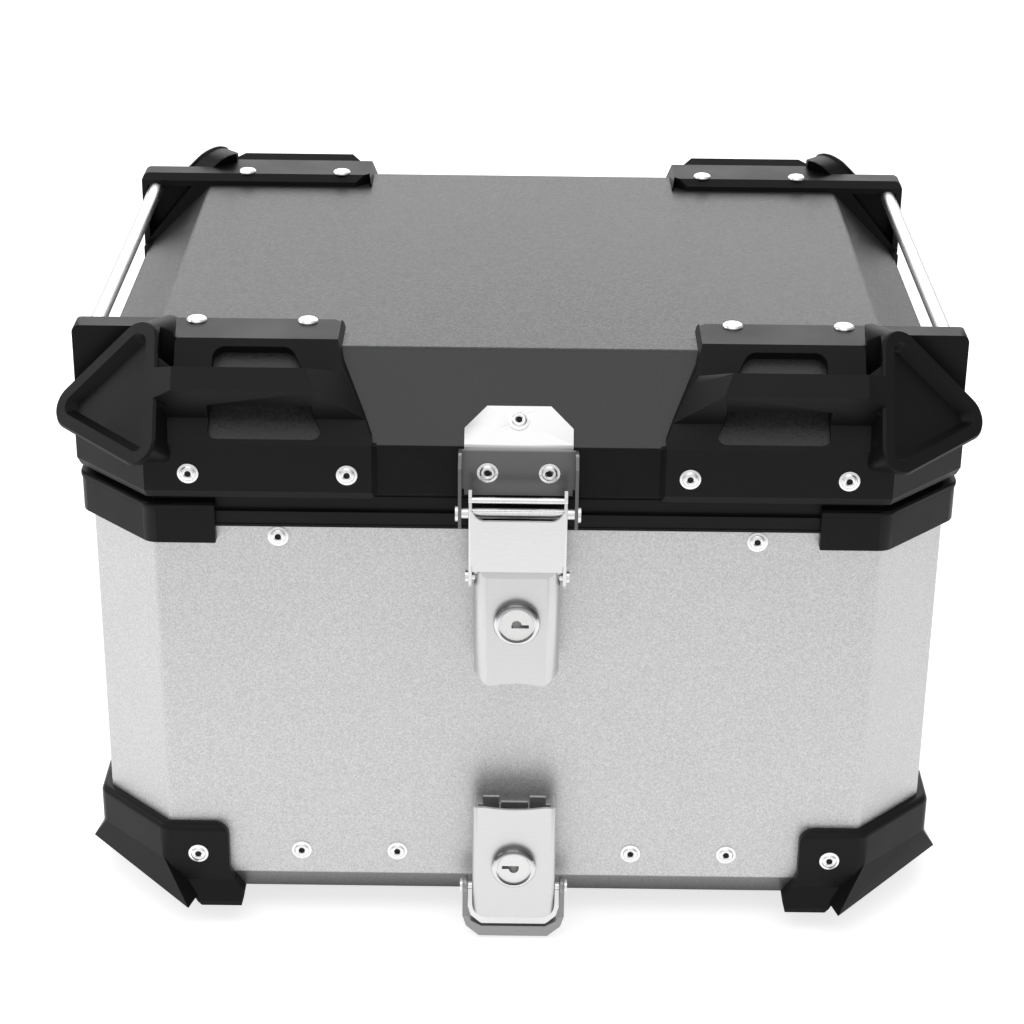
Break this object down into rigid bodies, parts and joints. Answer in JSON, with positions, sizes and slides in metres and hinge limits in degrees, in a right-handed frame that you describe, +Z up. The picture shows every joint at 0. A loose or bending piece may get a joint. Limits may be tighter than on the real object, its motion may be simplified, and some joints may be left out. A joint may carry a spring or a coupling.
{
  "type": "motorcycle top case",
  "caption": "Riveted aluminium top case with a hinged lid, black corner guards with strap slots, side tie rods, a keyed lid latch and a keyed quick-release latch below.",
  "frame": {"origin": "on the ground under the middle of the case, centre of the bounding box's underside", "axes": "+X to the case's right seen from its latch side, +Y from the latches to the hinge, +Z up"},
  "size_m": [0.4262, 0.3736, 0.3001],
  "materials": {
    "silver_aluminium": "light silver, fine sand-blasted and anodised",
    "black_aluminium": "black anodised extrusion, satin",
    "black_coated_lid": "fine-grained black coating on pressed aluminium",
    "black_frame": "smooth semi-gloss black",
    "guard_plastic": "charcoal glass-filled nylon, fine moulded texture",
    "bright_rod": "bright drawn aluminium",
    "rubber": "black EPDM rubber",
    "mat": "ribbed dark grey foam mat",
    "stainless_sheet": "bead-blasted and lightly brushed stainless sheet",
    "steel_pins": "turned stainless pins",
    "hinge_steel": "brushed stainless plate",
    "lock_chrome": "polished chrome bezel",
    "lock_face": "satin nickel lock face",
    "mandrel_steel": "dull broken steel ends, in the shadow of the rivet heads",
    "rivet_aluminium": "bright aluminium blind rivets"
  },
  "bodies": {
    "root": {"body_shell": "silver_aluminium", "rim_rail": "black_aluminium", "lid_seal": "rubber", "floor_mat": "mat", "front_backing_plate_left": "hinge_steel", "front_backing_plate_right": "hinge_steel", "rear_backing_plate_left": "hinge_steel", "rear_backing_plate_right": "hinge_steel", "rubber_feet": "rubber", "foot_guard_front_left": "guard_plastic", "foot_guard_front_right": "guard_plastic", "foot_guard_rear_left": "guard_plastic", "foot_guard_rear_right": "guard_plastic", "rim_guard_front_left": "guard_plastic", "rim_guard_front_right": "guard_plastic", "rim_guard_rear_left": "guard_plastic", "rim_guard_rear_right": "guard_plastic", "hinge_body_leaf": "hinge_steel", "hinge_pin": "steel_pins", "rear_hook_left": "hinge_steel", "rear_hook_right": "hinge_steel", "latch_base": "stainless_sheet", "latch_pivot_pin": "steel_pins", "release_base": "stainless_sheet", "release_pivot_pin": "steel_pins", "body_rivets": "rivet_aluminium", "foot_rivets": "rivet_aluminium", "latch_base_rivets": "rivet_aluminium", "rivet_mandrels_body": "mandrel_steel"},
    "lid": {"lid_shell": "black_coated_lid", "lid_frame": "black_frame", "lid_guard_front_left": "guard_plastic", "lid_guard_front_right": "guard_plastic", "lid_guard_rear_left": "guard_plastic", "lid_guard_rear_right": "guard_plastic", "tie_rod_left": "bright_rod", "tie_rod_right": "bright_rod", "hinge_lid_leaf": "hinge_steel", "lid_latch_bracket": "stainless_sheet", "keeper_pin": "steel_pins", "lid_rivets": "rivet_aluminium", "strap_guard_rivets": "rivet_aluminium", "rivet_mandrels_lid": "mandrel_steel"},
    "latch_lever": {"latch_lever": "stainless_sheet", "latch_lock_housing": "lock_chrome", "latch_lock_nut": "lock_face", "claw_pivot_pins": "steel_pins"},
    "latch_claw": {"latch_claw": "stainless_sheet", "claw_bar": "steel_pins"},
    "latch_key": {"latch_lock_plug": "lock_face"},
    "release_lever": {"release_lever": "stainless_sheet", "release_lock_housing": "lock_chrome", "release_lock_nut": "lock_face", "bail_pivot_pins": "steel_pins"},
    "release_bail": {"release_bail": "stainless_sheet"},
    "release_key": {"release_lock_plug": "lock_face"}
  },
  "joints": [
    {"name": "lid_hinge", "type": "hinge", "parent": "root", "child": "lid", "pos_m": [0, 0.1812, 0.226], "axis": [-1, 0, 0], "range_deg": [0, 105]},
    {"name": "latch_lever_pivot", "type": "hinge", "parent": "root", "child": "latch_lever", "pos_m": [0, -0.1753, 0.2045], "axis": [-1, 0, 0], "range_deg": [0, 90]},
    {"name": "latch_claw_pivot", "type": "hinge", "parent": "latch_lever", "child": "latch_claw", "pos_m": [0, -0.1745, 0.1925], "axis": [-1, 0, 0], "range_deg": [-90, 0]},
    {"name": "latch_key_turn", "type": "hinge", "parent": "latch_lever", "child": "latch_key", "pos_m": [0, -0.18, 0.1719], "axis": [0, -1, 0], "range_deg": [0, 90]},
    {"name": "release_lever_pivot", "type": "hinge", "parent": "root", "child": "release_lever", "pos_m": [0, -0.1756, 0.0165], "axis": [1, 0, 0], "range_deg": [0, 90]},
    {"name": "release_bail_pivot", "type": "hinge", "parent": "release_lever", "child": "release_bail", "pos_m": [0, -0.1746, 0.025], "axis": [1, 0, 0], "range_deg": [-115.1, 0]},
    {"name": "release_key_turn", "type": "hinge", "parent": "release_lever", "child": "release_key", "pos_m": [0, -0.182, 0.0415], "axis": [0, -1, 0], "range_deg": [0, 90]}
  ],
  "couplings": [
    {"joint": "latch_claw_pivot", "follows": "latch_lever_pivot", "ratio": -1},
    {"joint": "release_bail_pivot", "follows": "release_lever_pivot", "ratio": -1.2778}
  ]
}
